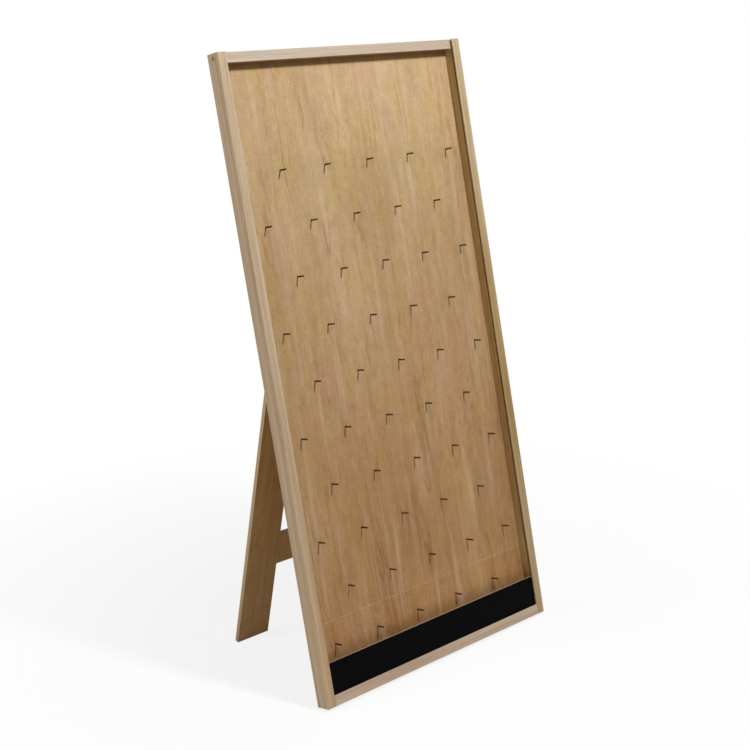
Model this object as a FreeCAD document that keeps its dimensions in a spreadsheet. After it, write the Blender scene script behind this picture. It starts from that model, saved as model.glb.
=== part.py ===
import FreeCAD, Part
import os
import re
import Sketcher

# Prize drop game board: a tall pegged panel in a wooden frame, with a clear sheet that
# slides in grooves, a black strip at the foot and a plywood leg hinged behind.
#
# Every piece is drawn in the upright board's frame: X to the right from the board's middle,
# Y back from the front of the posts, Z up from their lower ends. The finished pieces are
# then leaned back together, standing on a floor at Z = 0. Sizes are in millimetres.

doc = FreeCAD.newDocument("prize_drop_board")

# Driving sizes

SIZES = {
    "board_width": 609.6,
    "board_height": 1219.2,
    "lean": 13.5,
    "leg_opening": 25.2,
    # wooden frame
    "post_width": 19,
    "post_depth": 31.8,
    "edge_round": 0.8,
    "top_rail_height": 19,
    "top_rail_setback": 7,
    "bottom_rail_height": 20.5,
    # groove for the clear sheet and the black strip
    "groove_setback": 3,
    "groove_width": 3.4,
    "groove_depth": 6.4,
    # plywood panel let into the back
    "panel_setback": 24.4,
    "panel_thickness": 6.4,
    "rabbet_width": 9.5,
    "panel_side_gap": 0.5,
    "panel_end_gap": 1,
    # clear sheet and the pins that it rests on
    "sheet_thickness": 3,
    "sheet_height": 865,
    "sheet_bottom": 158.5,
    "sheet_edge_gap": 0.8,
    "sheet_rest_gap": 0.3,
    "rest_pin_diameter": 3,
    "rest_pin_hold": 6.6,
    "rest_pin_reach": 5.4,
    # black strip
    "strip_thickness": 3,
    "strip_top": 83,
    "strip_seat_depth": 6,
    # pegs
    "peg_row_pairs": 5,
    "peg_columns": 5,
    "peg_pitch_across": 108.5,
    "peg_pitch_down": 99.5,
    "top_peg_height": 1001,
    "peg_diameter": 3.2,
    "peg_head": 3.8,
    "peg_head_height": 1.2,
    "peg_length": 25,
    "peg_reach": 17.6,
    # screws through the posts into the rails
    "frame_screw_diameter": 4,
    "frame_screw_head": 8,
    "frame_screw_head_height": 2.4,
    "frame_screw_length": 38,
    # screws that hold the panel
    "panel_screw_diameter": 3,
    "panel_screw_head": 6,
    "panel_screw_head_height": 1.8,
    "panel_screw_length": 16,
    "panel_screw_rows": 6,
    "panel_screw_end": 60,
    "rail_screw_count": 3,
    "rail_screw_end": 136,
    # batten that carries the hinges
    "batten_height": 19,
    "batten_thickness": 19,
    "batten_underside": 676,
    "batten_end_gap": 1,
    "brad_diameter": 1.6,
    "brad_head": 2.6,
    "brad_head_height": 1,
    "brad_length": 25,
    "brad_count": 5,
    "brad_end": 24,
    # leg, cut from one sheet of plywood
    "leg_thickness": 9,
    "leg_inset": 46.8,
    "leg_plank": 78,
    "leg_bar_rise": 168,
    "leg_bar_height": 72,
    "leg_head_drop": 63,
    "leg_head_rise": 14,
    "leg_stop_gap": 0.3,
    # hinges
    "hinge_length": 50,
    "hinge_leaf": 16,
    "leaf_thickness": 1.2,
    "knuckle_diameter": 5.2,
    "knuckle_count": 3,
    "knuckle_gap": 0.25,
    "knuckle_clearance": 0.4,
    "hinge_wood_gap": 0.3,
    "hinge_pin_diameter": 2.6,
    "hinge_pin_play": 0.05,
    "hinge_screw_diameter": 2.6,
    "hinge_screw_head": 5,
    "hinge_screw_head_height": 0.7,
    "hinge_screw_pitch": 17,
    "hinge_screw_line": 9.5,
    "batten_screw_length": 12,
    "leg_screw_length": 8,
}

sheet = doc.addObject("Spreadsheet::Sheet", "Sizes")
for row, (alias, number) in enumerate(SIZES.items(), start=1):
    sheet.set(f"A{row}", alias)
    sheet.set(f"B{row}", str(number))
    sheet.setAlias(f"B{row}", alias)
doc.recompute()

# Places worked out from the driving sizes

PLACES = {
    "inner_half": "board_width / 2 - post_width",
    "groove_floor": "inner_half + groove_depth",
    "groove_middle": "groove_setback + groove_width / 2",
    "panel_back": "panel_setback + panel_thickness",
    "top_rail_bottom": "board_height - top_rail_height",
    "batten_back": "panel_back + batten_thickness",
    "batten_half": "inner_half - batten_end_gap",
    "knuckle_radius": "knuckle_diameter / 2",
    # distance from the hinge's axis to the wood on both sides of it
    "hinge_offset": "knuckle_radius + hinge_wood_gap",
    "pivot_back": "batten_back - hinge_offset",
    "pivot_height": "batten_underside - hinge_offset",
    "leg_width": "board_width - 2 * leg_inset",
    "hinge_across": "(leg_width - leg_plank) / 2",
    # turn of the leg from upright, when the board stands
    "leg_lean": "leg_opening - lean",
    # the leaning board stands on the back edge of its lower end
    "stand_rise": "post_depth * sin(lean)",
    "pivot_rise": "stand_rise + pivot_height * cos(lean) - pivot_back * sin(lean)",
    "pivot_run": "pivot_back * cos(lean) + pivot_height * sin(lean)",
    # the leg reaches the floor with the front edge of its square-cut foot
    "leg_length": "(pivot_rise + hinge_offset * sin(leg_lean)) / cos(leg_lean)",
    "foot_run": "pivot_run + (hinge_offset + leg_thickness) * cos(leg_lean) + leg_length * sin(leg_lean)",
    # half of the whole depth, so that the origin is in the middle of the floor space
    "stand_run": "-foot_run / 2",
    "knuckle_pitch": "hinge_length / knuckle_count",
}


def formula(text):
    """A formula in the document's own words, from one that uses the bare names of sizes."""
    def owner(match):
        word = match.group(0)
        if word in SIZES:
            return f"Sizes.{word}"
        if word in PLACES:
            return f"Places.{word}"
        return word
    return re.sub(r"[a-z_]+", owner, text)


places = doc.addObject("App::VarSet", "Places")
for name, text in PLACES.items():
    places.addProperty("App::PropertyFloat", name)
    places.setExpression(name, formula(text))
doc.recompute()


def bind(thing, target, text):
    thing.setExpression(target, formula(text))


# How pieces are drawn


def origin_part(body, role):
    for feature in body.Origin.OriginFeatures:
        if feature.Role == role:
            return feature
    raise ValueError(role)


def new_sketch(body, plane, lift):
    """A sketch on one of the body's own planes, moved off it by the formula lift."""
    sketch = body.newObject("Sketcher::SketchObject", "sketch")
    sketch.AttachmentSupport = [(origin_part(body, plane), "")]
    sketch.MapMode = "FlatFace"
    bind(sketch, "AttachmentOffset.Base.z", lift)
    return sketch


def hold_point(sketch, line, end, across, up):
    """Holds one end of a line at a place given by two formulas."""
    for kind, text in (("DistanceX", across), ("DistanceY", up)):
        index = sketch.addConstraint(Sketcher.Constraint(kind, -1, 1, line, end, 1.0))
        bind(sketch, f"Constraints[{index}]", text)


def draw_outline(sketch, corners):
    """A closed outline whose corners are pairs of formulas."""
    count = len(corners)
    first = sketch.GeometryCount
    for step in range(count):
        start = FreeCAD.Vector(step, step * step, 0)
        end = FreeCAD.Vector(step + 1, (step + 1) ** 2, 0)
        sketch.addGeometry(Part.LineSegment(start, end))
    for step, (across, up) in enumerate(corners):
        line = first + step
        following = first + (step + 1) % count
        sketch.addConstraint(Sketcher.Constraint("Coincident", line, 2, following, 1))
        hold_point(sketch, line, 1, across, up)


def draw_polygon(sketch, across, up, diameter, sides):
    """A regular polygon whose corners lie on a circle of that diameter."""
    corners = []
    for step in range(sides):
        angle = 360 * (step + 0.5) / sides
        corners.append((
            f"{across} + ({diameter}) / 2 * cos({angle})",
            f"{up} + ({diameter}) / 2 * sin({angle})"))
    draw_outline(sketch, corners)


def draw_circle(sketch, across, up, diameter):
    circle = sketch.addGeometry(Part.Circle(FreeCAD.Vector(0, 0, 0), FreeCAD.Vector(0, 0, 1), 1))
    hold_point(sketch, circle, 3, across, up)
    index = sketch.addConstraint(Sketcher.Constraint("Diameter", circle, 2.0))
    bind(sketch, f"Constraints[{index}]", diameter)


def new_body(label):
    body = doc.addObject("PartDesign::Body", label)
    body.Label = label
    return body


def add_pad(body, sketch, length, both_ways=False, backwards=False):
    pad = body.newObject("PartDesign::Pad", "pad")
    pad.Profile = sketch
    bind(pad, "Length", length)
    pad.Midplane = both_ways
    pad.Reversed = backwards
    doc.recompute()
    return pad


def add_pocket(body, sketch):
    """A cut right through the body, both ways from its sketch."""
    before = body.Shape.Volume
    pocket = body.newObject("PartDesign::Pocket", "pocket")
    pocket.Profile = sketch
    pocket.Type = "ThroughAll"
    pocket.Midplane = True
    doc.recompute()
    if pocket.Shape.Volume >= before:
        raise ValueError(f"{body.Label}: a pocket cuts nothing")
    return pocket


def add_rod(body, axis, across, up, start, end, diameter, sides):
    """A rod of flat sides along one of the body's axes."""
    plane, side = {"X": ("YZ_Plane", ""), "Y": ("XZ_Plane", "-"), "Z": ("XY_Plane", "")}[axis]
    sections = []
    for place in (start, end):
        sketch = new_sketch(body, plane, f"{side}({place})")
        draw_polygon(sketch, across, up, diameter, sides)
        sections.append(sketch)
    rod = body.newObject("PartDesign::AdditiveLoft", "rod")
    rod.Profile = sections[0]
    rod.Sections = sections[1:]
    rod.Ruled = True
    doc.recompute()
    return rod


def add_fastener(body, axis, across, up, seat, into, kind, length=None, sides=6):
    """A nail or screw with a flat head: the head's outer end lies at seat, and into is a sign."""
    under = f"{seat} {into} {kind}_head_height"
    end = f"{seat} {into} {length or kind + '_length'}"
    return [
        add_rod(body, axis, across, up, seat, under, f"{kind}_head", sides),
        add_rod(body, axis, across, up, under, end, f"{kind}_diameter", sides),
    ]


def add_row(body, axis, length, count):
    """One step of a grid: copies along an axis of the body."""
    row = body.newObject("PartDesign::LinearPattern", "row")
    row.Direction = (origin_part(body, axis), [""])
    bind(row, "Length", length)
    bind(row, "Occurrences", count)
    return row


def add_mirror(body):
    """One step of a grid: the same on the other side of the board's middle."""
    mirror = body.newObject("PartDesign::Mirrored", "mirror")
    mirror.MirrorPlane = (origin_part(body, "YZ_Plane"), [""])
    return mirror


def add_grid(body, originals, steps):
    grid = body.newObject("PartDesign::MultiTransform", "grid")
    grid.Originals = originals
    grid.Transformations = steps
    body.Tip = grid
    doc.recompute()
    return grid


def round_long_edges(body, direction, corners):
    """Eases the edges that run along a direction through the given corners of the section."""
    base = body.Tip
    doc.recompute()
    names = []
    for number, edge in enumerate(base.Shape.Edges, start=1):
        start = edge.firstVertex().Point
        run = edge.lastVertex().Point - start
        if run.Length == 0 or abs(abs(run.normalize().dot(direction)) - 1) > 1e-6:
            continue
        flat = start - direction * start.dot(direction)
        if any((flat - corner).Length < 1e-4 for corner in corners):
            names.append(f"Edge{number}")
    fillet = body.newObject("PartDesign::Fillet", "eased_edges")
    fillet.Base = (base, names)
    bind(fillet, "Radius", "edge_round")
    doc.recompute()
    return fillet


def stand(thing):
    """Leans a piece of the board back and sets it on the floor."""
    thing.Placement.Rotation.Axis = FreeCAD.Vector(1, 0, 0)
    bind(thing, "Placement.Rotation.Angle", "-lean")
    bind(thing, "Placement.Base.y", "stand_run")
    bind(thing, "Placement.Base.z", "stand_rise")


def hang(thing, turn, across="0"):
    """Sets a piece that was drawn about the hinges' axis on that axis, turned by a formula."""
    thing.Placement.Rotation.Axis = FreeCAD.Vector(1, 0, 0)
    bind(thing, "Placement.Rotation.Angle", turn)
    bind(thing, "Placement.Base.x", across)
    bind(thing, "Placement.Base.y", "stand_run + pivot_run")
    bind(thing, "Placement.Base.z", "pivot_rise")


def drilled(label, blank, fasteners):
    """The piece that is left when its fasteners and pins have made their holes in the blank."""
    blank.Label = f"{label}_blank"
    tools = doc.addObject("Part::Compound", f"{label}_fasteners")
    tools.Links = fasteners
    piece = doc.addObject("Part::Cut", label)
    piece.Label = label
    piece.Base = blank
    piece.Tool = tools
    return piece


def value(name):
    return getattr(places, name) if name in PLACES else sheet.get(name)


# Fasteners. They repeat many times, so they have few sides: eight on nails, six on screws.


def make_frame_screws():
    """Four screws, through the posts' sides into the ends of both rails."""
    body = new_body("frame_screws")
    line = "(top_rail_setback + panel_setback) / 2"
    screw = add_fastener(
        body, "X", line, "bottom_rail_height / 2", "-board_width / 2", "+", "frame_screw")
    span = "board_height - (top_rail_height + bottom_rail_height) / 2"
    add_grid(body, screw, [add_mirror(body), add_row(body, "Z_Axis", span, "2")])
    stand(body)
    return body


def make_panel_screws():
    """Screws from the back that hold the panel: a column into each post, a row into each rail."""
    body = new_body("panel_screws")
    column = "-inner_half - rabbet_width / 2"
    screw = add_fastener(body, "Y", column, "panel_screw_end", "panel_back", "-", "panel_screw")
    rise = "board_height - 2 * panel_screw_end"
    add_grid(body, screw, [add_row(body, "Z_Axis", rise, "panel_screw_rows"), add_mirror(body)])
    across = "rail_screw_end - inner_half"
    screw = add_fastener(body, "Y", across, "bottom_rail_height / 2", "panel_back", "-", "panel_screw")
    span = "board_height - (top_rail_height + bottom_rail_height) / 2"
    run = "2 * (inner_half - rail_screw_end)"
    add_grid(body, screw, [add_row(body, "X_Axis", run, "rail_screw_count"), add_row(body, "Z_Axis", span, "2")])
    stand(body)
    return body


def make_peg_nails():
    """Fifty nails: each second row is moved across by half of the pitch."""
    body = new_body("peg_nails")
    run = "peg_pitch_across * (peg_columns - 1)"
    rise = "2 * peg_pitch_down * (peg_row_pairs - 1)"
    rows = (("top_peg_height", "+"), ("top_peg_height - peg_pitch_down", "-"))
    for height, side in rows:
        across = f"-{run} / 2 {side} peg_pitch_across / 4"
        nail = add_fastener(
            body, "Y", across, f"{height} - {rise}", "panel_setback - peg_reach", "+", "peg", sides=8)
        add_grid(body, nail, [
            add_row(body, "X_Axis", run, "peg_columns"),
            add_row(body, "Z_Axis", rise, "peg_row_pairs")])
    stand(body)
    return body


def make_batten_brads():
    """Brads from the panel's face into the hinge batten behind it, with flush heads."""
    body = new_body("batten_brads")
    height = "batten_underside + batten_height / 2"
    brad = add_fastener(
        body, "Y", "brad_end - batten_half", height, "panel_setback", "+", "brad", sides=8)
    add_grid(body, brad, [add_row(body, "X_Axis", "2 * (batten_half - brad_end)", "brad_count")])
    stand(body)
    return body


def make_rest_pins():
    """One steel pin in the floor of each groove, under the clear sheet's lower corner."""
    body = new_body("sheet_rest_pins")
    height = "sheet_bottom - sheet_rest_gap - rest_pin_diameter / 2"
    held = "-groove_floor - rest_pin_hold"
    free = "-groove_floor + rest_pin_reach"
    pin = add_rod(body, "X", "groove_middle", height, held, free, "rest_pin_diameter", 8)
    add_grid(body, [pin], [add_mirror(body)])
    stand(body)
    return body


def make_hinge_screws(label, axis, length, turn):
    """Three screws in each of the two leaves on one side of the hinges."""
    body = new_body(label)
    screw = add_fastener(
        body, axis, "-hinge_across - hinge_screw_pitch", "-hinge_screw_line",
        "(hinge_offset - leaf_thickness)", "+", "hinge_screw", length)
    add_grid(body, screw, [add_row(body, "X_Axis", "2 * hinge_screw_pitch", "3"), add_mirror(body)])
    hang(body, turn)
    return body


# Wooden frame and panel


def make_left_post(fasteners):
    """Post with the sheet's groove in its inner face and a rabbet for the panel behind."""
    body = new_body("left_post_blank")
    outer = "-board_width / 2"
    inner = "-inner_half"
    groove_back = "groove_setback + groove_width"
    rabbet = "-inner_half - rabbet_width"
    sketch = new_sketch(body, "XY_Plane", "0")
    draw_outline(sketch, [
        (outer, "0"),
        (inner, "0"),
        (inner, "groove_setback"),
        ("-groove_floor", "groove_setback"),
        ("-groove_floor", groove_back),
        (inner, groove_back),
        (inner, "panel_setback"),
        (rabbet, "panel_setback"),
        (rabbet, "post_depth"),
        (outer, "post_depth"),
    ])
    add_pad(body, sketch, "board_height")
    left = -value("board_width") / 2
    right = -value("inner_half")
    back = value("post_depth")
    corners = [FreeCAD.Vector(left, 0, 0), FreeCAD.Vector(right, 0, 0), FreeCAD.Vector(left, back, 0)]
    round_long_edges(body, FreeCAD.Vector(0, 0, 1), corners)
    stand(body)
    return drilled("left_post", body, fasteners)


def make_right_post(left_post):
    post = doc.addObject("Part::Mirroring", "right_post")
    post.Label = "right_post"
    post.Source = left_post
    post.Normal = FreeCAD.Vector(1, 0, 0)
    return post


def make_rail(label, section, eased, fasteners):
    """Rail between the posts, from its section."""
    body = new_body(f"{label}_blank")
    sketch = new_sketch(body, "YZ_Plane", "0")
    draw_outline(sketch, section)
    add_pad(body, sketch, "2 * inner_half", both_ways=True)
    corners = [FreeCAD.Vector(0, back, height) for back, height in eased]
    round_long_edges(body, FreeCAD.Vector(1, 0, 0), corners)
    stand(body)
    return drilled(label, body, fasteners)


def make_top_rail(fasteners):
    """Set back behind the groove, so that the sheet can slide up past it."""
    section = [
        ("top_rail_setback", "top_rail_bottom"),
        ("panel_setback", "top_rail_bottom"),
        ("panel_setback", "board_height"),
        ("top_rail_setback", "board_height"),
    ]
    front = value("top_rail_setback")
    eased = [(front, value("top_rail_bottom")), (front, value("board_height"))]
    return make_rail("top_rail", section, eased, fasteners)


def make_bottom_rail(fasteners):
    """Flush in front, with a groove in its top that holds the black strip."""
    groove_back = "groove_setback + groove_width"
    seat = "bottom_rail_height - strip_seat_depth"
    section = [
        ("0", "0"),
        ("panel_setback", "0"),
        ("panel_setback", "bottom_rail_height"),
        (groove_back, "bottom_rail_height"),
        (groove_back, seat),
        ("groove_setback", seat),
        ("groove_setback", "bottom_rail_height"),
        ("0", "bottom_rail_height"),
    ]
    eased = [(0, 0), (0, value("bottom_rail_height"))]
    return make_rail("bottom_rail", section, eased, fasteners)


def make_slab(label, half_width, front, back, bottom, height):
    """A flat piece that stands across the board, given by formulas."""
    body = new_body(label)
    sketch = new_sketch(body, "XY_Plane", bottom)
    draw_outline(sketch, [
        (f"-({half_width})", front),
        (half_width, front),
        (half_width, back),
        (f"-({half_width})", back),
    ])
    add_pad(body, sketch, height)
    stand(body)
    return body


def make_back_panel(fasteners):
    """Plywood panel in the posts' rabbets, over the backs of both rails."""
    body = make_slab(
        "back_panel_blank",
        "inner_half + rabbet_width - panel_side_gap",
        "panel_setback",
        "panel_back",
        "panel_end_gap",
        "board_height - 2 * panel_end_gap")
    return drilled("back_panel", body, fasteners)


def make_clear_sheet():
    return make_slab(
        "clear_sheet",
        "groove_floor - sheet_edge_gap",
        "groove_middle - sheet_thickness / 2",
        "groove_middle + sheet_thickness / 2",
        "sheet_bottom",
        "sheet_height")


def make_black_strip():
    seat = "bottom_rail_height - strip_seat_depth"
    return make_slab(
        "black_strip",
        "groove_floor - sheet_edge_gap",
        "groove_middle - strip_thickness / 2",
        "groove_middle + strip_thickness / 2",
        seat,
        f"strip_top - ({seat})")


def make_hinge_batten(fasteners):
    """Batten across the panel's back, between two rows of nail points."""
    body = new_body("hinge_batten_blank")
    sketch = new_sketch(body, "YZ_Plane", "0")
    top = "batten_underside + batten_height"
    draw_outline(sketch, [
        ("panel_back", "batten_underside"),
        ("batten_back", "batten_underside"),
        ("batten_back", top),
        ("panel_back", top),
    ])
    add_pad(body, sketch, "2 * batten_half", both_ways=True)
    corner = FreeCAD.Vector(0, value("batten_back"), value("batten_underside") + value("batten_height"))
    round_long_edges(body, FreeCAD.Vector(1, 0, 0), [corner])
    stand(body)
    return drilled("hinge_batten", body, fasteners)


# Leg


def make_easel_leg(fasteners):
    """One sheet of plywood: two legs, a cross-bar and a head, bevelled above the hinges.

    It is drawn folded, hanging from the hinges' axis. When it is open, the bevel lies against
    the back of the batten and stops it.
    """
    body = new_body("easel_leg_blank")
    outer = "leg_width / 2"
    inner = "(leg_width / 2 - leg_plank)"
    bar_bottom = "leg_bar_rise - leg_length"
    bar_top = "leg_bar_rise + leg_bar_height - leg_length"
    sketch = new_sketch(body, "XZ_Plane", "-hinge_offset")
    draw_outline(sketch, [
        (f"-{outer}", "-leg_length"),
        (f"-{inner}", "-leg_length"),
        (f"-{inner}", bar_bottom),
        (inner, bar_bottom),
        (inner, "-leg_length"),
        (outer, "-leg_length"),
        (outer, "leg_head_rise"),
        (f"-{outer}", "leg_head_rise"),
    ])
    draw_outline(sketch, [
        (f"-{inner}", bar_top),
        (inner, bar_top),
        (inner, "-leg_head_drop"),
        (f"-{inner}", "-leg_head_drop"),
    ])
    add_pad(body, sketch, "leg_thickness", backwards=True)
    # the bevel is a plane just behind the batten's back once the leg has opened
    front = "hinge_offset - 1"
    start = "(hinge_offset * cos(leg_opening) - hinge_offset - leg_stop_gap) / sin(leg_opening)"
    top = "leg_head_rise + 1"
    depth = f"(hinge_offset + leg_stop_gap + ({top}) * sin(leg_opening)) / cos(leg_opening)"
    sketch = new_sketch(body, "YZ_Plane", "0")
    draw_outline(sketch, [(front, start), ("hinge_offset", start), (depth, top), (front, top)])
    add_pocket(body, sketch)
    hang(body, "leg_lean")
    return drilled("easel_leg", body, fasteners)


# Hinges


def knuckle_pockets(body, plane, numbers):
    """Clears the room of the other leaf's knuckles."""
    for number in numbers:
        start = f"(knuckle_pitch * {number} - hinge_length / 2 - knuckle_gap / 2)"
        end = f"(knuckle_pitch * {number + 1} - hinge_length / 2 + knuckle_gap / 2)"
        sketch = new_sketch(body, plane, "0")
        edge = "-knuckle_radius - knuckle_clearance"
        past = "knuckle_radius + 1"
        draw_outline(sketch, [(start, edge), (end, edge), (end, past), (start, past)])
        add_pocket(body, sketch)


def make_leaf(label, plate, plane, cleared, fasteners, turn, across, bore=None):
    """A leaf of a butt hinge: plate and barrel in one, less the other leaf's knuckles."""
    body = new_body(f"{label}_blank")
    sketch = new_sketch(body, "YZ_Plane", "0")
    draw_outline(sketch, plate)
    add_pad(body, sketch, "hinge_length", both_ways=True)
    sketch = new_sketch(body, "YZ_Plane", "0")
    draw_circle(sketch, "0", "0", "knuckle_diameter")
    add_pad(body, sketch, "hinge_length", both_ways=True)
    knuckle_pockets(body, plane, cleared)
    if bore:
        sketch = new_sketch(body, "YZ_Plane", "0")
        draw_circle(sketch, "0", "0", bore)
        add_pocket(body, sketch)
    hang(body, turn, across)
    return drilled(label, body, fasteners)


def make_hinge_pin(label, across):
    """Plain pin, flush with both ends of the barrel."""
    body = new_body(label)
    sketch = new_sketch(body, "YZ_Plane", "0")
    draw_circle(sketch, "0", "0", "hinge_pin_diameter")
    add_pad(body, sketch, "hinge_length", both_ways=True)
    hang(body, "-lean", across)
    return body


def make_hinge(side, across, batten_screws, leg_screws):
    """Butt hinge in the corner under the batten: one leaf up to the batten, one on the leg."""
    pin = make_hinge_pin(f"{side}_hinge_pin", across)
    near = "hinge_offset - leaf_thickness"
    flat_plate = [("-hinge_leaf", near), ("0", near), ("0", "hinge_offset"), ("-hinge_leaf", "hinge_offset")]
    upright_plate = [(up, across_plate) for across_plate, up in flat_plate]
    board_leaf = make_leaf(
        f"{side}_hinge_board_leaf", flat_plate, "XY_Plane", (1,), [batten_screws, pin], "-lean", across)
    leg_leaf = make_leaf(
        f"{side}_hinge_leg_leaf", upright_plate, "XZ_Plane", (0, 2), [leg_screws], "leg_lean", across,
        bore="hinge_pin_diameter + 2 * hinge_pin_play")
    return [board_leaf, leg_leaf, pin]


# The board put together

frame_screws = make_frame_screws()
panel_screws = make_panel_screws()
peg_nails = make_peg_nails()
batten_brads = make_batten_brads()
rest_pins = make_rest_pins()
batten_screws = make_hinge_screws("hinge_batten_screws", "Z", "batten_screw_length", "-lean")
leg_screws = make_hinge_screws("hinge_leg_screws", "Y", "leg_screw_length", "leg_lean")

left_post = make_left_post([frame_screws, panel_screws, rest_pins])
pieces = [
    left_post,
    make_right_post(left_post),
    make_top_rail([frame_screws, panel_screws]),
    make_bottom_rail([frame_screws, panel_screws]),
    make_back_panel([panel_screws, peg_nails, batten_brads]),
    make_clear_sheet(),
    make_black_strip(),
    make_hinge_batten([batten_brads, batten_screws]),
    make_easel_leg([leg_screws]),
    frame_screws,
    panel_screws,
    peg_nails,
    batten_brads,
    rest_pins,
    batten_screws,
    leg_screws,
]
pieces += make_hinge("left", "-hinge_across", batten_screws, leg_screws)
pieces += make_hinge("right", "hinge_across", batten_screws, leg_screws)

doc.recompute()

# Every object and piece is tested before anything is written

for thing in doc.Objects:
    if "Invalid" in thing.State or "Error" in thing.State:
        raise ValueError(f"{thing.Label} failed: {thing.State}")
for piece in pieces:
    if piece.Shape.isNull() or not piece.Shape.isValid():
        raise ValueError(f"{piece.Label} has no valid shape")

os.makedirs("parts", exist_ok=True)
for piece in pieces:
    piece.Shape.exportStep(f"parts/{piece.Label}.step")
    box = piece.Shape.BoundBox
    print(
        f"{piece.Label}: {len(piece.Shape.Solids)} solids, {piece.Shape.Volume:.0f} mm3,"
        f" y {box.YMin:.2f}..{box.YMax:.2f}, z {box.ZMin:.2f}..{box.ZMax:.2f}")
for name in PLACES:
    print(f"{name} = {value(name):.3f}")
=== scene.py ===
import bpy
import math
import random
from mathutils import Matrix, Vector


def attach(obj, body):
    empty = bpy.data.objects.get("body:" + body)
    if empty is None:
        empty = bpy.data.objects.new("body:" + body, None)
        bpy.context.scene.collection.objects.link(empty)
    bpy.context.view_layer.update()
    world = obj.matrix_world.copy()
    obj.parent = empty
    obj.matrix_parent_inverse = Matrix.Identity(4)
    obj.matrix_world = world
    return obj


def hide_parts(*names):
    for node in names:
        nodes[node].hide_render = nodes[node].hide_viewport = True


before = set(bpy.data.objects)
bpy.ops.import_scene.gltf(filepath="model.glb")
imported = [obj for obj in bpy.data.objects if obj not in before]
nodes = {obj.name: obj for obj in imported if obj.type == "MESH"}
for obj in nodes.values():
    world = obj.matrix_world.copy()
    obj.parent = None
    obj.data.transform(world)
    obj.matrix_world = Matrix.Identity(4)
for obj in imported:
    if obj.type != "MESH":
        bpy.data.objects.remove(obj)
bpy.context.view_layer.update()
random.seed(7)
here = bpy.context.scene
here.view_settings.view_transform = "Standard"


# The studio: a camera at eye height, in front of the board and to its left, that looks a
# little down. The board leans back from the camera.
CAMERA_DIP = 16.709
CAMERA_TURN = 42.533
camera = bpy.data.objects.new("camera", bpy.data.cameras.new("camera"))
here.collection.objects.link(camera)
camera.location = (-1.8160, -1.9498, 1.3594)
camera.rotation_euler = (math.radians(90 - CAMERA_DIP), 0, math.radians(-CAMERA_TURN))
camera.data.lens = 67.41
camera.data.sensor_width = 36
camera.data.clip_end = 200
here.camera = camera


# The lamps: one soft lamp high in front and a little to the right, so that each peg's shadow
# falls down and slightly left, and a wide one far out to the left, a little behind the board,
# that lights the left post's outer side.
def soft_lamp(name, place, aim, wide, power):
    """A square lamp that shines from its place to its aim, in metres and watts."""
    lamp = bpy.data.objects.new(name, bpy.data.lights.new(name, "AREA"))
    here.collection.objects.link(lamp)
    lamp.data.size = wide
    lamp.data.energy = power
    lamp.location = place
    lamp.rotation_euler = (Vector(aim) - Vector(place)).to_track_quat("-Z", "Y").to_euler()


soft_lamp("front_lamp", place=(0.39, -1.44, 2.99), aim=(0, 0, 0.7), wide=0.30, power=75)
soft_lamp("left_lamp", place=(-3.0, 0.9, 1.6), aim=(0, 0.1, 0.6), wide=1.5, power=42)


# The sky and the floor: seen straight or through the clear sheet they are plain white. The
# floor is a sheet of pale paper that keeps a soft shadow near the board and fades to plain
# white further out.
def shape_node(tree, kind, fed=None, **choices):
    """A new node of a tree, its inputs fed from sockets or set to values, its choices set."""
    made = tree.nodes.new("ShaderNode" + kind)
    for name, choice in choices.items():
        setattr(made, name, choice)
    for name, feed in (fed or {}).items():
        if isinstance(feed, bpy.types.NodeSocket):
            tree.links.new(feed, made.inputs[name])
        else:
            made.inputs[name].default_value = feed
    return made


def worked_out(tree, operation, *terms):
    """The result of one operation on its terms, which are sockets or numbers."""
    return shape_node(tree, "Math", dict(enumerate(terms)), operation=operation).outputs[0]


def times(tree, first, second):
    """Two numbers multiplied."""
    return worked_out(tree, "MULTIPLY", first, second)


def between(tree, number, low, high, start=0.0, end=1.0):
    """Where a number stands from low to high, told from start to end and held at both."""
    fed = {"Value": number, "From Min": low, "From Max": high, "To Min": start, "To Max": end}
    return shape_node(tree, "MapRange", fed).outputs[0]


def ray_is(tree, *kinds):
    """1 for a ray of one of these kinds, 0 for any other."""
    ray = shape_node(tree, "LightPath")
    found = ray.outputs[f"Is {kinds[0]} Ray"]
    for kind in kinds[1:]:
        found = worked_out(tree, "MAXIMUM", found, ray.outputs[f"Is {kind} Ray"])
    return found


def tone(red, green, blue):
    """A colour as it is seen, from 0 to 255, as the shader's numbers. A tint can go above 255
    and makes what it is laid on paler."""
    def straight(part):
        part = part / 255
        return part / 12.92 if part <= 0.04045 else ((part + 0.055) / 1.055) ** 2.4
    return (straight(red), straight(green), straight(blue), 1)


def toned(tree, factor, *stops):
    """Colours from a factor. Each stop is a place from 0 to 1 and a colour."""
    made = shape_node(tree, "ValToRGB", {"Fac": factor})
    points = made.color_ramp.elements
    while len(points) < len(stops):
        points.new(1)
    for point, (place, colour) in zip(points, stops):
        point.position = place
        point.color = colour
    return made.outputs["Color"]


def own_place(tree):
    """Places on a piece, in metres, as it stands at rest."""
    return shape_node(tree, "TexCoord").outputs["Object"]


def clouds(tree, place, scales, shift=0.0, detail=3.0, rough=0.5, part="Fac"):
    """Soft noise from 0 to 1. The scales say how many clouds there are to a metre in each
    direction of the places, and a shift keeps any two pieces from being alike."""
    fed = {"Vector": place, "Location": (shift, shift * 0.7, shift * 1.3), "Scale": scales}
    spot = shape_node(tree, "Mapping", fed).outputs["Vector"]
    fed = {"Vector": spot, "Scale": 1.0, "Detail": detail, "Roughness": rough}
    return shape_node(tree, "TexNoise", fed).outputs[part]


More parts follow.
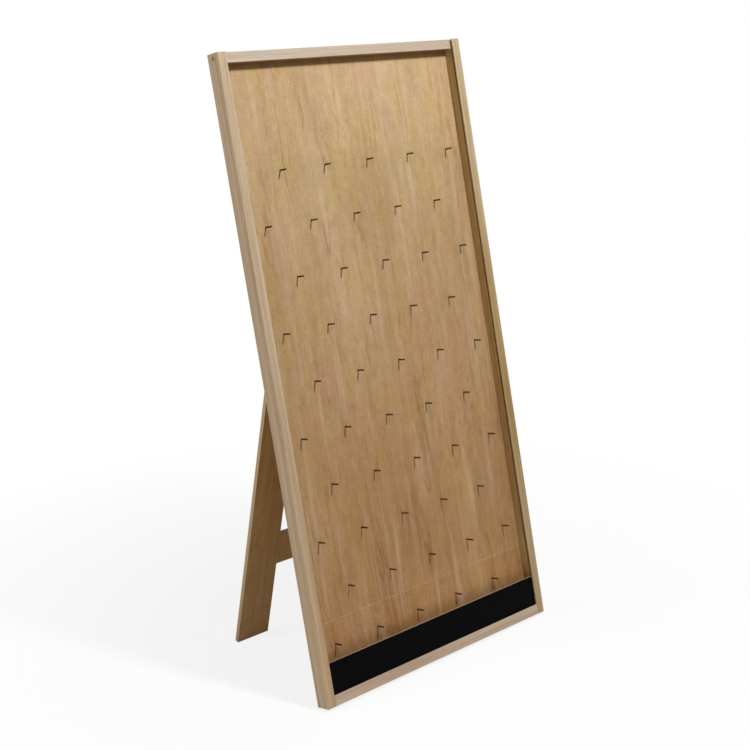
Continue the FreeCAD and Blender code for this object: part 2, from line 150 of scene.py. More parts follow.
def new_finish(name):
    """A material with an empty tree but for its output, and the tree and the output."""
    finish = bpy.data.materials.new(name)
    finish.use_nodes = True
    tree = finish.node_tree
    tree.nodes.clear()
    return finish, tree, tree.nodes.new("ShaderNodeOutputMaterial")


WHITE = (1, 1, 1, 1)
SKY_ON_THINGS = 0.17
SKY_IN_A_GLOSS = 0.45
world = bpy.data.worlds.new("studio")
here.world = world
world.use_nodes = True
sky = world.node_tree
sky.nodes.clear()
strength = worked_out(
    sky, "MAXIMUM", ray_is(sky, "Camera", "Transmission"),
    between(sky, ray_is(sky, "Glossy"), 0, 1, SKY_ON_THINGS, SKY_IN_A_GLOSS))
glow = shape_node(sky, "Background", {"Color": WHITE, "Strength": strength})
sky.links.new(glow.outputs[0], sky.nodes.new("ShaderNodeOutputWorld").inputs[0])

# the paper counts for a sixth beside plain white close to the board, and for nothing far out
PAPER_SHOWS = 0.16
CLOSE = 0.4
FAR_OUT = 1.3
bpy.ops.object.select_all(action="DESELECT")
bpy.ops.mesh.primitive_circle_add(vertices=96, radius=60, fill_type="NGON")
floor = bpy.context.object
floor.name = "paper_floor"
paper, tree, out = new_finish("white_paper")
place = own_place(tree)
apart = shape_node(tree, "VectorMath", {0: place}, operation="LENGTH").outputs["Value"]
near = between(tree, apart, CLOSE, FAR_OUT, PAPER_SHOWS, 0.0)
fibres = clouds(tree, place, (900, 900, 900))
pale = toned(tree, fibres, (0.3, tone(236, 236, 235)), (0.7, tone(246, 246, 245)))
matt = shape_node(tree, "BsdfDiffuse", {"Color": pale, "Roughness": 0.6})
bright = shape_node(tree, "Emission", {"Color": WHITE, "Strength": 1.0})
seen = ray_is(tree, "Camera", "Glossy", "Transmission")
far = times(tree, seen, worked_out(tree, "SUBTRACT", 1.0, near))
mixed = shape_node(tree, "MixShader", {0: far, 1: matt.outputs[0], 2: bright.outputs[0]})
tree.links.new(mixed.outputs[0], out.inputs["Surface"])
floor.data.materials.append(paper)


# The two posts and the two rails: planed hardwood, straight in the grain, left bare, butted
# and screwed. Each is from another stick, so they differ in tone, and their edges have been
# eased by hand.
LEAN = math.radians(13.5)
ACROSS = Vector((1, 0, 0))
BACK = Vector((0, math.cos(LEAN), -math.sin(LEAN)))
UP = Vector((0, math.sin(LEAN), math.cos(LEAN)))
STAND = Vector((0, -0.174661, 0.007424))


def on_board(across, back, up):
    """A place in the standing board, from millimetres right, back and up in the upright one."""
    return STAND + (ACROSS * across + BACK * back + UP * up) / 1000


def grain_place(tree, corner, back, along):
    """Places measured from a corner of the wood: across the grain, through it and along it."""
    turn = Matrix((back.cross(along), back, along)).transposed().to_euler()
    fed = {"Vector": own_place(tree), "Location": corner, "Rotation": turn}
    return shape_node(tree, "Mapping", fed, vector_type="TEXTURE").outputs["Vector"]


def facing(tree, direction, start, full, both_ways=True):
    """1 where the surface faces along a direction, or against it too, and 0 where it has
    turned away. In between it goes from start to full, the cosines of the angle to it."""
    normal = shape_node(tree, "TexCoord").outputs["Normal"]
    fed = {0: normal, 1: direction}
    cosine = shape_node(tree, "VectorMath", fed, operation="DOT_PRODUCT").outputs["Value"]
    if both_ways:
        cosine = worked_out(tree, "ABSOLUTE", cosine)
    return between(tree, cosine, start, full)


def blended(tree, factor, first, second, way="MIX"):
    """Two colours mixed: the first where the factor is 0 and the second where it is 1."""
    fed = {0: factor, 6: first, 7: second}
    return shape_node(tree, "Mix", fed, data_type="RGBA", blend_type=way).outputs[2]


def tinted(tree, factor, colour, tint):
    """A colour with a tint laid over it, as far as the factor says."""
    return blended(tree, factor, colour, tint, "MULTIPLY")


def summed(tree, first, *others):
    """Several layers of figure added up. Each is a pair of the layer and its share."""
    total = times(tree, *first)
    for layer, share in others:
        total = worked_out(tree, "MULTIPLY_ADD", layer, share, total)
    return total


def crest(tree, steps, start, full):
    """The slow rise, from start to full, and the quick fall at the end of each whole step."""
    fall = 0.88
    part = worked_out(tree, "FRACT", steps)
    return times(tree, between(tree, part, start, full), between(tree, part, fall, 1.0, 1.0, 0.0))


def growth_rings(tree, place, pith, shift):
    """Rings about a pith outside the stick, which the saw has cut into long lines."""
    ring_width, wander = 0.0026, 0.010
    sway = clouds(tree, place, (9, 9, 1.6), shift, detail=2.0)
    parts = shape_node(tree, "SeparateXYZ", {0: place})
    squares = []
    for spot, middle in zip(parts.outputs, pith):
        away = worked_out(tree, "SUBTRACT", spot, middle)
        squares.append(worked_out(tree, "POWER", away, 2.0))
    radius = worked_out(tree, "SQRT", worked_out(tree, "ADD", *squares))
    radius = worked_out(tree, "ADD", radius, times(tree, sway, wander))
    return crest(tree, worked_out(tree, "DIVIDE", radius, ring_width), 0.0, 0.82)


def arris(tree, place, section):
    """1 on the long edges of a stick of this section, 0 away from them."""
    eased = 0.0016
    parts = shape_node(tree, "SeparateXYZ", {0: place})
    nearest = []
    for spot, size in zip(parts.outputs, section):
        nearest.append(worked_out(tree, "MINIMUM", spot, worked_out(tree, "SUBTRACT", size, spot)))
    return between(tree, worked_out(tree, "MAXIMUM", *nearest), 0.0, eased, 1.0, 0.0)


def raised(tree, height, strength, depth):
    """A fine relief, its depth in metres."""
    fed = {"Height": height, "Strength": strength, "Distance": depth}
    return shape_node(tree, "Bump", fed).outputs[0]


def coated(tree, out, colour, rough, relief, gloss=0.5, metal=0.0):
    """Ends a material: one coat of a colour, as rough, glossy and metallic as it says."""
    fed = {
        "Base Color": colour, "Roughness": rough, "Normal": relief,
        "Specular IOR Level": gloss, "Metallic": metal}
    coat = shape_node(tree, "BsdfPrincipled", fed)
    tree.links.new(coat.outputs[0], out.inputs["Surface"])


PLAIN = (255, 255, 255)


def bare_timber(
        name, corner, along, section, pith, dark, middle, pale, shift,
        side=PLAIN, painted_shade_under=PLAIN, fade=None):
    """Bare straight-grained wood. The section is the stick's size across the grain and from
    front to back, and the pith is measured the same way, both in metres. Side tints the faces
    that look left and right: painted light where the tint is above 255, painted shade where it
    is below. The under tint darkens the one that looks down, as painted shade. Fade tints those
    that look forward and back: pairs of a place along the stick, in metres, and a tint."""
    finish, tree, out = new_finish(name)
    place = grain_place(tree, corner, BACK, along)
    rings = growth_rings(tree, place, pith, shift)
    bands = clouds(tree, place, (80, 80, 1.5), shift + 3)
    streaks = clouds(tree, place, (330, 330, 5), shift + 5, detail=4.0, rough=0.6)
    fibres = clouds(tree, place, (1500, 1500, 26), shift + 8, rough=0.65)
    figure = summed(tree, (rings, 0.06), (bands, 0.36), (streaks, 0.34), (fibres, 0.26))
    colour = toned(tree, figure, (0.34, dark), (0.52, middle), (0.70, pale))
    pores = clouds(tree, place, (2300, 2300, 75), shift + 11, detail=2.0)
    pores = between(tree, pores, 0.63, 0.74)
    colour = tinted(tree, times(tree, pores, 0.30), colour, dark)
    # painted light and painted shade on the faces that look left and right
    colour = tinted(tree, facing(tree, ACROSS, 0.5, 0.9), colour, tone(*side))
    if fade:
        length = shape_node(tree, "SeparateXYZ", {0: place}).outputs[2]
        tints = toned(tree, length, *[(stop, tone(*tint)) for stop, tint in fade])
        colour = tinted(tree, facing(tree, BACK, 0.5, 0.9), colour, tints)
    # painted shade on the face that looks down
    colour = tinted(tree, facing(tree, -UP, 0.5, 0.9, both_ways=False), colour, tone(*painted_shade_under))
    # cut ends drink in dirt and turn browner, and the edges are rubbed pale here and there
    cut_end = facing(tree, along, 0.6, 0.9)
    colour = tinted(tree, times(tree, cut_end, 0.6), colour, tone(150, 112, 76))
    patchy = between(tree, clouds(tree, place, (120, 120, 40), shift + 17), 0.42, 0.6)
    rubbed = times(tree, arris(tree, place, section), patchy)
    colour = blended(tree, times(tree, rubbed, 0.35), colour, pale)
    rough = between(tree, fibres, 0.3, 0.7, 0.62, 0.50)
    height = worked_out(tree, "MULTIPLY_ADD", streaks, 0.5, fibres)
    height = worked_out(tree, "SUBTRACT", height, pores)
    relief = raised(tree, height, strength=0.35, depth=0.00025)
    coated(tree, out, colour, rough, relief, gloss=0.24)
    return finish


def finished(piece, finish):
    """Gives a piece one finish all over."""
    piece.data.materials.clear()
    piece.data.materials.append(finish)


# from the board's middle line, its front and its foot, in millimetres; sections are in metres
POST_OUTSIDE = 304.8
POST_INSIDE = 285.8
TOP_RAIL_FRONT = 7
BOARD_TOP = 1219.2
BOTTOM_RAIL_TOP = 20.5
post_section = (0.019, 0.0318)
top_rail_section = (0.019, 0.0174)
bottom_rail_section = (0.0205, 0.0244)
# the left post's sides are painted a little darker and yellower: painted shade
finished(nodes["left_post"], bare_timber(
    "left_post_wood", on_board(-POST_OUTSIDE, 0, 0), UP, post_section, pith=(-0.035, 0.09),
    dark=tone(152, 122, 92), middle=tone(183, 160, 131), pale=tone(204, 186, 160), shift=0.0,
    side=(248, 243, 236), fade=((0.0, (255, 243, 228)), (0.6, PLAIN))))
# the right post's inner side is painted paler, as painted light; its front is brownest a third of
# the way up
finished(nodes["right_post"], bare_timber(
    "right_post_wood", on_board(POST_INSIDE, 0, 0), UP, post_section, pith=(0.06, 0.07),
    dark=tone(140, 116, 80), middle=tone(172, 148, 108), pale=tone(192, 172, 136), shift=20.0,
    side=(292, 284, 264), fade=(
        (0.2, (258, 255, 264)), (0.44, (234, 220, 198)),
        (0.70, (252, 244, 232)), (1.0, (270, 280, 297)))))
# the top rail's underside is painted darker and browner: painted shade
finished(nodes["top_rail"], bare_timber(
    "top_rail_wood", on_board(-POST_INSIDE, TOP_RAIL_FRONT, BOARD_TOP), ACROSS,
    top_rail_section, pith=(0.05, -0.06),
    dark=tone(158, 134, 112), middle=tone(181, 164, 144), pale=tone(198, 184, 164), shift=40.0,
    painted_shade_under=(206, 180, 140), fade=((0.0, (264, 268, 275)), (0.25, PLAIN))))
finished(nodes["bottom_rail"], bare_timber(
    "bottom_rail_wood", on_board(-POST_INSIDE, 0, BOTTOM_RAIL_TOP), ACROSS,
    bottom_rail_section, pith=(-0.05, 0.08),
    dark=tone(162, 136, 114), middle=tone(192, 168, 146), pale=tone(208, 188, 166), shift=60.0))


# The panel: plywood faced with a pale rotary-cut veneer, let into the backs of the posts and
# screwed on. The veneer has long soft streaks, short darker flames and a little mottle. Its
# colour is painted darker and redder towards the foot: painted shade.
def veneer(tree, place, shift):
    """How pale the veneer is at a place, from 0 to 1, where its flames run and how high its
    fibres stand. The peeled log's grain drifts from side to side."""
    drift = clouds(tree, place, (6, 6, 4.5), shift, detail=2.0, part="Color")
    drift_sideways = 0.030
    fed = {0: drift, 1: (drift_sideways, 0, 0), 2: place}
    place = shape_node(tree, "VectorMath", fed, operation="MULTIPLY_ADD").outputs[0]
    # clouds to a metre across the grain and along it, their detail, roughness and share
    grains = (
        (13, 3.0, 2.0, 0.5, 0.20), (38, 3.2, 4.0, 0.6, 0.14), (120, 8, 4.0, 0.6, 0.12),
        (340, 30, 4.0, 0.6, 0.12), (60, 40, 4.0, 0.6, 0.17), (520, 340, 3.0, 0.6, 0.25))
    layers = []
    for number, (across, along, detail, rough, share) in enumerate(grains):
        scales = (across, across, along)
        layers.append((clouds(tree, place, scales, shift + 2 * number, detail, rough), share))
    pale = summed(tree, *layers)
    # flames: lines of equal height on a long gentle slope, broken here and there
    lines_to_a_slope = 13.0
    slope = clouds(tree, place, (15, 15, 2.0), shift + 14)
    lines = crest(tree, times(tree, slope, lines_to_a_slope), 0.62, 0.86)
    breaks = between(tree, clouds(tree, place, (34, 34, 6), shift + 16), 0.50, 0.66)
    fibres = clouds(tree, place, (1300, 1300, 60), shift + 18, rough=0.65)
    return pale, times(tree, lines, breaks), fibres


def ply_edges(tree, place, ply, shift):
    """The colour of a sheet's cut edges: plies with the grain one way and the other by turns,
    and a dark line of glue between. Ply is the thickness of one, in metres."""
    waviness = 0.0004
    wavy = clouds(tree, place, (30, 30, 30), shift, detail=2.0)
    depth = shape_node(tree, "SeparateXYZ", {0: place}).outputs[1]
    depth = worked_out(tree, "MULTIPLY_ADD", wavy, waviness, depth)
    layer = worked_out(tree, "DIVIDE", depth, ply)
    turn = worked_out(tree, "FRACT", times(tree, layer, 0.5))
    turn = worked_out(tree, "GREATER_THAN", turn, 0.5)
    glue = between(tree, worked_out(tree, "FRACT", layer), 0.0, 0.12, 1.0, 0.0)
    fine = clouds(tree, place, (900, 2600, 900), shift + 1, rough=0.6)
    long_way = toned(tree, fine, (0.3, tone(176, 146, 108)), (0.7, tone(212, 188, 152)))
    end_way = toned(tree, fine, (0.3, tone(138, 104, 74)), (0.7, tone(184, 150, 114)))
    colour = blended(tree, turn, long_way, end_way)
    return blended(tree, times(tree, glue, 0.55), colour, tone(84, 56, 34))


def plywood(name, corner, back, along, thickness, plies, upper, lower, run, shift, rail_shadow_band=None):
    """Faced plywood, in metres. Upper and lower are the dark, middle and pale tones at the two
    ends of a run up its face; darker lower tones paint shade towards the foot. Between the two
    heights given for the rail's shadow, the front face is painted browner just below a rail: a
    painted shadow of the rail."""
    finish, tree, out = new_finish(name)
    place = grain_place(tree, corner, back, along)
    parts = shape_node(tree, "SeparateXYZ", {0: place})
    depth, height = parts.outputs[1], parts.outputs[2]
    pale, flames, fibres = veneer(tree, place, shift)
    stops = (0.38, 0.51, 0.64)
    high = toned(tree, pale, *zip(stops, upper))
    low = toned(tree, pale, *zip(stops, lower))
    # painted shade: up the run the face goes from the darker lower tones to the upper ones
    colour = blended(tree, between(tree, height, *run), low, high)
    colour = tinted(tree, times(tree, flames, 0.60), colour, tone(224, 196, 144))
    # the hue wanders a little from yellow to pink, and a few long flecks stay pale
    hue = clouds(tree, place, (22, 22, 9), shift + 24, detail=4.0, rough=0.65)
    tints = (tone(255, 252, 229), tone(255, 251, 241), tone(255, 248, 251))
    colour = tinted(tree, 1.0, colour, toned(tree, hue, *zip((0.34, 0.5, 0.66), tints)))
    flecks = clouds(tree, place, (60, 60, 3.4), shift + 26, detail=2.0)
    colour = blended(tree, between(tree, flecks, 0.56, 0.70, 0.0, 0.32), colour, upper[2])
    # painted shadow: a band of the veneer's front just below the top rail is darkened and browned
    if rail_shadow_band:
        front = between(tree, depth, 0.002, 0.004, 1.0, 0.0)
        painted_rail_shadow = times(tree, front, between(tree, height, *rail_shadow_band))
        colour = tinted(tree, painted_rail_shadow, colour, tone(213, 191, 151))
    edge = worked_out(tree, "SUBTRACT", 1.0, facing(tree, back, 0.5, 0.8))
    edges = ply_edges(tree, place, thickness / plies, shift + 16)
    colour = blended(tree, edge, colour, edges)
    rough = between(tree, fibres, 0.3, 0.7, 0.58, 0.44)
    relief = raised(tree, fibres, strength=0.25, depth=0.00018)
    coated(tree, out, colour, rough, relief, gloss=0.2)
    return finish


PANEL_FRONT = 24.4
finished(nodes["back_panel"], plywood(
    "panel_veneer", on_board(0, PANEL_FRONT, 0), BACK, UP, thickness=0.0064, plies=5,
    upper=(tone(161, 133, 97), tone(184, 157, 122), tone(199, 180, 151)),
    lower=(tone(141, 101, 62), tone(167, 127, 85), tone(186, 151, 110)),
    run=(0.12, 1.0), shift=5.0, rail_shadow_band=(1.182, 1.197)))


# The leg: one sheet of nine-millimetre plywood, cut into two planks with a cross-bar and a
# head, and hung from the batten by two hinges. Its face is plainer and redder than the
# panel's, and its cut edges show the plies.
SPLAY = math.radians(11.7)
LEG_BACK = Vector((0, math.cos(SPLAY), math.sin(SPLAY)))
LEG_UP = Vector((0, -math.sin(SPLAY), math.cos(SPLAY)))
PIVOT = Vector((0, 0.028075, 0.650977))
LEG_FRONT = 0.0029  # from the pivot, in metres
LEG_FOOT = 0.66539
finished(nodes["easel_leg"], plywood(
    "leg_veneer", PIVOT + LEG_BACK * LEG_FRONT - LEG_UP * LEG_FOOT, LEG_BACK, LEG_UP,
    thickness=0.009, plies=7,
    upper=(tone(166, 126, 74), tone(184, 146, 92), tone(200, 168, 116)),
    lower=(tone(168, 126, 78), tone(188, 148, 98), tone(202, 168, 120)),
    run=(0.0, 0.66), shift=31.0))


# The hinge batten: a planed stick across the back of the panel, held by brads from the front.
# It is bare like the posts, a little yellower, and carries the hinges on its underside.
BATTEN_END = 284.8
PANEL_BACK = 30.8
BATTEN_TOP = 695
batten_section = (0.019, 0.019)
finished(nodes["hinge_batten"], bare_timber(
    "batten_wood", on_board(-BATTEN_END, PANEL_BACK, BATTEN_TOP), ACROSS,
    batten_section, pith=(0.05, 0.05),
    dark=tone(160, 130, 92), middle=tone(188, 160, 122), pale=tone(206, 182, 146), shift=80.0))


# The clear sheet: three millimetres of acrylic that slides in the posts' grooves. Its faces
# hardly show, its sawn edges catch the light as thin pale lines, and it dims the light that
# falls through it a little.
FACE_INDEX = 1.08  # less than bare acrylic's, since the faces hardly mirror the room
RIM_SHOWS = 0.17
clear, tree, out = new_finish("clear_acrylic")
haze = clouds(tree, own_place(tree), (14, 14, 14), detail=4.0, rough=0.6)
wiped = between(tree, haze, 0.3, 0.7, 0.02, 0.07)
gloss = shape_node(tree, "BsdfGlossy", {"Color": WHITE, "Roughness": wiped})
through = shape_node(tree, "BsdfTransparent", {"Color": (0.985, 0.99, 0.985, 1)})
mirrored = shape_node(tree, "Fresnel", {"IOR": FACE_INDEX}).outputs[0]
face = shape_node(tree, "MixShader", {0: mirrored, 1: through.outputs[0], 2: gloss.outputs[0]})
fed = {"Base Color": tone(226, 226, 218), "Roughness": 0.35}
sawn = shape_node(tree, "BsdfPrincipled", fed)
rim = shape_node(tree, "MixShader", {0: RIM_SHOWS, 1: through.outputs[0], 2: sawn.outputs[0]})
edge = facing(tree, UP, 0.5, 0.8)
whole = shape_node(tree, "MixShader", {0: edge, 1: face.outputs[0], 2: rim.outputs[0]})
dimmed = shape_node(tree, "BsdfTransparent", {"Color": (0.97, 0.97, 0.965, 1)})
fed = {0: ray_is(tree, "Shadow"), 1: whole.outputs[0], 2: dimmed.outputs[0]}
passed = shape_node(tree, "MixShader", fed)
tree.links.new(passed.outputs[0], out.inputs["Surface"])
finished(nodes["clear_sheet"], clear)


# The black strip: a strip of black plastic that stands in the lower rail's groove and closes
# the foot of the board, where the prizes land. It has a fine satin face. Its top edge is
# painted pale: a painted highlight where it catches the light of the pale wood around it.
black, tree, out = new_finish("black_satin")
place = own_place(tree)
pits = clouds(tree, place, (1400, 1400, 1400), rough=0.6)
smears = clouds(tree, place, (9, 30, 30), shift=4.0, detail=4.0, rough=0.6)
colour = toned(tree, smears, (0.3, tone(7, 7, 7)), (0.75, tone(11, 11, 11)))
# painted highlight: the face that looks up is painted a pale pinkish grey
colour = blended(tree, facing(tree, UP, 0.5, 0.8), colour, tone(178, 148, 130))
rough = between(tree, smears, 0.3, 0.7, 0.42, 0.55)
coated(tree, out, colour, rough, raised(tree, pits, strength=0.12, depth=0.0001), gloss=0.02)
finished(nodes["black_strip"], black)


# The steel: dark browned nails, greyer screws and zinc-plated hinges. All of it is drawn or
# pressed metal with fine lines, a few dull spots and a thin skin of oxide.
def worn_steel(name, dark, pale, metal, smooth, dull, shift):
    """Drawn steel. Smooth and dull are how rough it is on the pale spots and the dark."""
    finish, tree, out = new_finish(name)
    place = own_place(tree)
    spots = clouds(tree, place, (420, 420, 420), shift, detail=4.0, rough=0.65)
    lines = clouds(tree, place, (180, 2600, 2600), shift + 3, rough=0.6)
    mixed = summed(tree, (lines, 0.4), (spots, 0.6))
    colour = toned(tree, mixed, (0.36, dark), (0.64, pale))
    rough = between(tree, mixed, 0.35, 0.65, dull, smooth)
    relief = raised(tree, mixed, strength=0.2, depth=0.0001)
    coated(tree, out, colour, rough, relief, metal=metal)
    return finish


nail_steel = worn_steel(
    "browned_nail", tone(56, 30, 10), tone(98, 60, 26),
    metal=0.3, smooth=0.42, dull=0.62, shift=0.0)
screw_steel = worn_steel(
    "dark_screw", tone(58, 50, 42), tone(104, 92, 78),
    metal=0.85, smooth=0.32, dull=0.52, shift=9.0)
zinc = worn_steel(
    "zinc_plate", tone(150, 148, 142), tone(196, 194, 188),
    metal=1.0, smooth=0.26, dull=0.42, shift=18.0)


# The pegs: fifty nails in staggered rows, driven through the panel until their small heads
# stand level with each other behind the clear sheet. Their blunted points just show behind.
def turned_rod(name, stations, sides, finish):
    """A round rod drawn along +Z from a disc at its first station, each a height and a radius
    in millimetres. The disc is pulled on and made wider or narrower from station to station."""
    bpy.ops.object.select_all(action="DESELECT")
    height, radius = stations[0]
    bpy.ops.mesh.primitive_circle_add(
        vertices=sides, radius=radius / 1000, fill_type="NGON", location=(0, 0, height / 1000))
    rod = bpy.context.object
    rod.name = name
    bpy.ops.object.mode_set(mode="EDIT")
    bpy.ops.mesh.select_all(action="SELECT")
    for next_height, next_radius in stations[1:]:
        step = {"value": (0, 0, (next_height - height) / 1000)}
        bpy.ops.mesh.extrude_region_move(TRANSFORM_OT_translate=step)
        bpy.ops.transform.resize(value=(next_radius / radius, next_radius / radius, 1))
        height, radius = next_height, next_radius
    bpy.ops.mesh.select_all(action="SELECT")
    bpy.ops.mesh.normals_make_consistent(inside=False)
    bpy.ops.object.mode_set(mode="OBJECT")
    bpy.ops.object.transform_apply(location=True, rotation=True, scale=True)
    bpy.ops.object.shade_smooth_by_angle(angle=math.radians(40))
    finished(rod, finish)
    return rod


def set_out(name, pattern, seats):
    """Copies of a pattern piece, each with its own mesh, joined under one name. A seat is the
    place of the pattern's origin, the way that its +Z points and a turn about that."""
    copies = []
    for place, way, turn in seats:
        copy = pattern.copy()
        copy.data = pattern.data.copy()
        here.collection.objects.link(copy)
        aimed = Vector(way).to_track_quat("Z", "Y").to_matrix().to_4x4()
        spun = Matrix.Rotation(turn, 4, "Z")
        copy.matrix_world = Matrix.Translation(place) @ aimed @ spun
        copies.append(copy)
    bpy.data.objects.remove(pattern)
    bpy.ops.object.select_all(action="DESELECT")
    for copy in copies:
        copy.select_set(True)
    bpy.context.view_layer.objects.active = copies[0]
    bpy.ops.object.join()
    bpy.ops.object.transform_apply(location=True, rotation=True, scale=True)
    group = bpy.context.object
    group.name = name
    return group


ROWS, ROW_DROP, TOP_ROW = 10, 99.5, 1001
COLUMNS, PEG_PITCH = 5, 108.5
PEG_STANDS = 17.6
# the head with its rounded rim, the neck, two shallow grip grooves, the shank and the point
peg_stations = [
    (0.0, 1.50), (0.12, 1.76), (0.35, 1.88), (0.95, 1.88), (1.15, 1.76), (1.3, 1.60),
    (2.1, 1.60), (2.2, 1.54), (2.5, 1.54), (2.6, 1.60),
    (3.4, 1.60), (3.5, 1.54), (3.8, 1.54), (3.9, 1.60),
    (24.0, 1.60), (24.7, 1.25), (25.0, 0.7)]
peg = turned_rod("peg", peg_stations, sides=16, finish=nail_steel)
seats = []
for row in range(ROWS):
    shift = PEG_PITCH / 4 * (1 if row % 2 == 0 else -1)
    for column in range(COLUMNS):
        across = PEG_PITCH * (column - COLUMNS // 2) + shift
        place = on_board(across, PANEL_FRONT - PEG_STANDS, TOP_ROW - ROW_DROP * row)
        seats.append((place, BACK, random.uniform(0, math.pi)))
pegs = set_out("pegs", peg, seats)
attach(pegs, "board")
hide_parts("peg_nails")


# The screws: countersunk wood screws with a cross recess, turned from dark steel. Those of the
# panel go through it into the posts and the rails, and their heads show behind.
def wood_screw(name, head, head_height, shank, length, dome, finish):
    """A screw along +Z with its head's rim at the origin. Sizes are diameters and lengths in mm."""
    wide = head / 2
    thin = shank / 2
    root = thin * 0.72
    pitch = 1.2
    stations = [(-dome, wide * 0.45), (-dome * 0.75, wide * 0.75), (-dome * 0.3, wide * 0.95)]
    stations += [(0.0, wide), (0.15, wide), (head_height, thin), (length * 0.4, thin)]
    height = length * 0.4
    while height + pitch < length - 2 * thin:
        stations += [(height + pitch * 0.35, thin), (height + pitch * 0.5, root)]
        stations += [(height + pitch, root)]
        height += pitch
        stations += [(height + 0.1, thin)]
    stations += [(length, thin * 0.15)]
    screw = turned_rod(name, stations, sides=20, finish=finish)
    # the recess is cut with a cross of two flat blades
    blade_width = wide * 1.1 / 1000
    blade_thickness = wide * 0.24 / 1000
    recess_floor = (wide * 0.5 - dome) / 1000 + 0.00002
    for angle in (0, math.pi / 2):
        bpy.ops.object.select_all(action="DESELECT")
        bpy.ops.mesh.primitive_cube_add(size=1, rotation=(0, 0, angle))
        blade = bpy.context.object
        blade.scale = (blade_width, blade_thickness, blade_width)
        blade.location = (0, 0, recess_floor - blade_width / 2)
        bpy.ops.object.transform_apply(location=True, rotation=True, scale=True)
        cut = screw.modifiers.new("recess", "BOOLEAN")
        cut.object = blade
        cut.solver = "EXACT"
        bpy.ops.object.select_all(action="DESELECT")
        bpy.context.view_layer.objects.active = screw
        screw.select_set(True)
        bpy.ops.object.modifier_apply(modifier="recess")
        bpy.data.objects.remove(blade)
    return screw


def screw_group(name, node, screw, seats, body):
    """One screw set out at all its seats, on a body, in place of the solids of a node."""
    group = set_out(name, screw, seats)
    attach(group, body)
    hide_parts(node)


POST_SCREWS, POST_SCREW_LINE, LOWEST_SCREW, SCREW_STEP = 6, 290.55, 60, 219.84
RAIL_SCREWS_ACROSS = (-149.8, 0, 149.8)
RAIL_MIDDLES = (10.25, 1209.7)
HEADS_BACK = 30.84
seats = []
for side in (-1, 1):
    for row in range(POST_SCREWS):
        place = on_board(side * POST_SCREW_LINE, HEADS_BACK, LOWEST_SCREW + SCREW_STEP * row)
        seats.append((place, -BACK, random.uniform(0, math.pi)))
for height in RAIL_MIDDLES:
    for across in RAIL_SCREWS_ACROSS:
        seats.append((on_board(across, HEADS_BACK, height), -BACK, random.uniform(0, math.pi)))
screw = wood_screw(
    "panel_screw", head=6, head_height=1.8, shank=3, length=16, dome=0.35, finish=screw_steel)
screw_group("panel_screws_driven", "panel_screws", screw, seats, "board")


# The joints of the frame: one long screw through each post into each rail. Their heads are sunk
# and covered with wood stopping, rubbed level, which has dried darker than the post at the top
# and is nearly the post's own tone at the foot.
stopping, tree, out = new_finish("wood_stopping")
place = own_place(tree)
crumbs = clouds(tree, place, (900, 900, 900), detail=4.0, rough=0.7)
height = shape_node(tree, "SeparateXYZ", {0: place}).outputs[2]
colour = toned(tree, crumbs, (0.3, tone(110, 92, 68)), (0.7, tone(146, 124, 96)))
colour = blended(tree, between(tree, height, 0.9, 1.1, 0.85, 0.0), colour, tone(196, 176, 150))
rough = between(tree, crumbs, 0.3, 0.7, 0.9, 0.75)
coated(tree, out, colour, rough, raised(tree, crumbs, strength=0.5, depth=0.0002))

SUNK_FROM_MIDDLE, SCREW_FROM_FRONT = 303.9, 15.7
PLUG_THICK = 0.0009  # in metres, and so flush with the post's outer side
seats = []
for side in (-1, 1):
    for height in RAIL_MIDDLES:
        place = on_board(side * SUNK_FROM_MIDDLE, SCREW_FROM_FRONT, height)
        seats.append((place, -side * ACROSS, random.uniform(0, math.pi)))
screw = wood_screw(
    "frame_screw", head=6.9, head_height=2.2, shank=4, length=37, dome=0.01, finish=screw_steel)
screw_group("frame_screws_sunk", "frame_screws", screw, seats, "board")
seats = [(place - way * PLUG_THICK, way, turn) for place, way, turn in seats]
plug_stations = [(0.05, 1.2), (0.0, 2.6), (0.0, 3.9), (0.12, 4.02), (0.9, 3.4)]
plug = turned_rod("plug", plug_stations, sides=24, finish=stopping)
plugs = set_out("screw_stopping", plug, seats)
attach(plugs, "board")
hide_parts("frame_screws")


# The brads that hold the hinge batten: driven from the front, set level with the veneer and
# touched in with the same stopping, so that they hardly show.
BRADS, BRAD_STEP, BRAD_FRONT, BRAD_HEIGHT, BRAD_TURN = 5, 130.4, 24.38, 685.5, 0.7
TOUCHED_IN = 0.0001  # in metres from the head's top, which takes the stopping
brad_stations = [(0.0, 1.1), (0.05, 1.3), (0.9, 1.3), (1.1, 0.8), (23.2, 0.8), (25.0, 0.15)]
brad = turned_rod("brad", brad_stations, sides=12, finish=nail_steel)
brad.data.materials.append(stopping)
for face in brad.data.polygons:
    if face.center.z < TOUCHED_IN:
        face.material_index = 1
seats = []
for number in range(BRADS):
    across = BRAD_STEP * (number - BRADS // 2)
    place = on_board(across, BRAD_FRONT, BRAD_HEIGHT)
    seats.append((place, BACK, number * BRAD_TURN))
brads = set_out("batten_brads_set", brad, seats)
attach(brads, "board")
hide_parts("batten_brads")


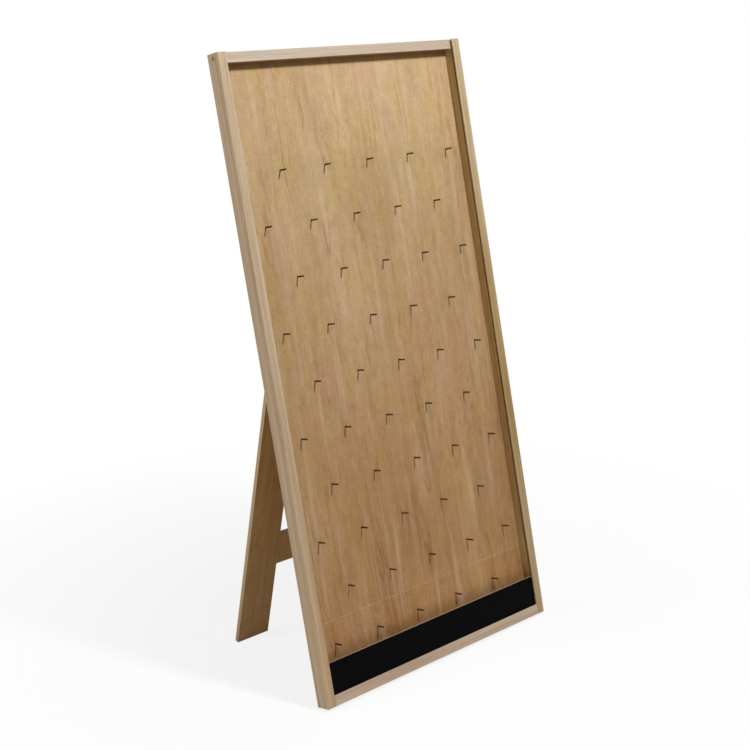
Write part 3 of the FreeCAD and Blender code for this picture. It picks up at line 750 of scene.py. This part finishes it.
# The two pins that the clear sheet rests on: bright steel with rounded ends, pressed into the
# floors of the grooves. They are three millimetres thick, and nearly half of each stands free.
SHEET_FOOT, SHEET_PLAY, PIN_RADIUS = 158.5, 0.3, 1.5
GROOVE_FLOOR, PIN_FREE, GROOVE_MIDDLE = 292.2, 5.4, 4.7
bright_steel = worn_steel(
    "bright_pin", tone(128, 124, 118), tone(178, 174, 166),
    metal=1.0, smooth=0.24, dull=0.4, shift=27.0)
pin_stations = [
    (0.0, 0.8), (0.25, 1.3), (0.7, PIN_RADIUS), (11.4, PIN_RADIUS), (11.85, 1.3), (12.0, 0.9)]
pin = turned_rod("rest_pin", pin_stations, sides=20, finish=bright_steel)
height = SHEET_FOOT - SHEET_PLAY - PIN_RADIUS
seats = []
for side in (-1, 1):
    place = on_board(side * (GROOVE_FLOOR - PIN_FREE), GROOVE_MIDDLE, height)
    seats.append((place, side * ACROSS, 0))
rest_pins = set_out("rest_pins", pin, seats)
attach(rest_pins, "board")
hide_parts("sheet_rest_pins")


# The hinges: a pair of pressed butt hinges in zinc-plated steel, in the corner under the
# batten. One leaf of each is screwed up into the batten and the other to the leg.
for side in ("left", "right"):
    finished(nodes[f"{side}_hinge_board_leaf"], zinc)
    finished(nodes[f"{side}_hinge_leg_leaf"], zinc)
    finished(nodes[f"{side}_hinge_pin"], bright_steel)
HINGE_MIDDLE, HOLE_STEP = 219, 17
HOLES_FROM_PIN, HEADS_FROM_PIN = 9.5, 1.67
holes = [side * HINGE_MIDDLE + step * HOLE_STEP for side in (-1, 1) for step in (-1, 0, 1)]
batten_seats = []
leg_seats = []
for across in holes:
    spot = ACROSS * across - BACK * HOLES_FROM_PIN + UP * HEADS_FROM_PIN
    batten_seats.append((PIVOT + spot / 1000, UP, across))
    spot = ACROSS * across - LEG_UP * HOLES_FROM_PIN + LEG_BACK * HEADS_FROM_PIN
    leg_seats.append((PIVOT + spot / 1000, LEG_BACK, across))
screw = wood_screw(
    "batten_screw", head=5, head_height=0.7, shank=2.6, length=12, dome=0.02, finish=zinc)
screw_group("batten_hinge_screws", "hinge_batten_screws", screw, batten_seats, "board")
screw = wood_screw(
    "leg_screw", head=5, head_height=0.7, shank=2.6, length=8, dome=0.02, finish=zinc)
screw_group("leg_hinge_screws", "hinge_leg_screws", screw, leg_seats, "leg")
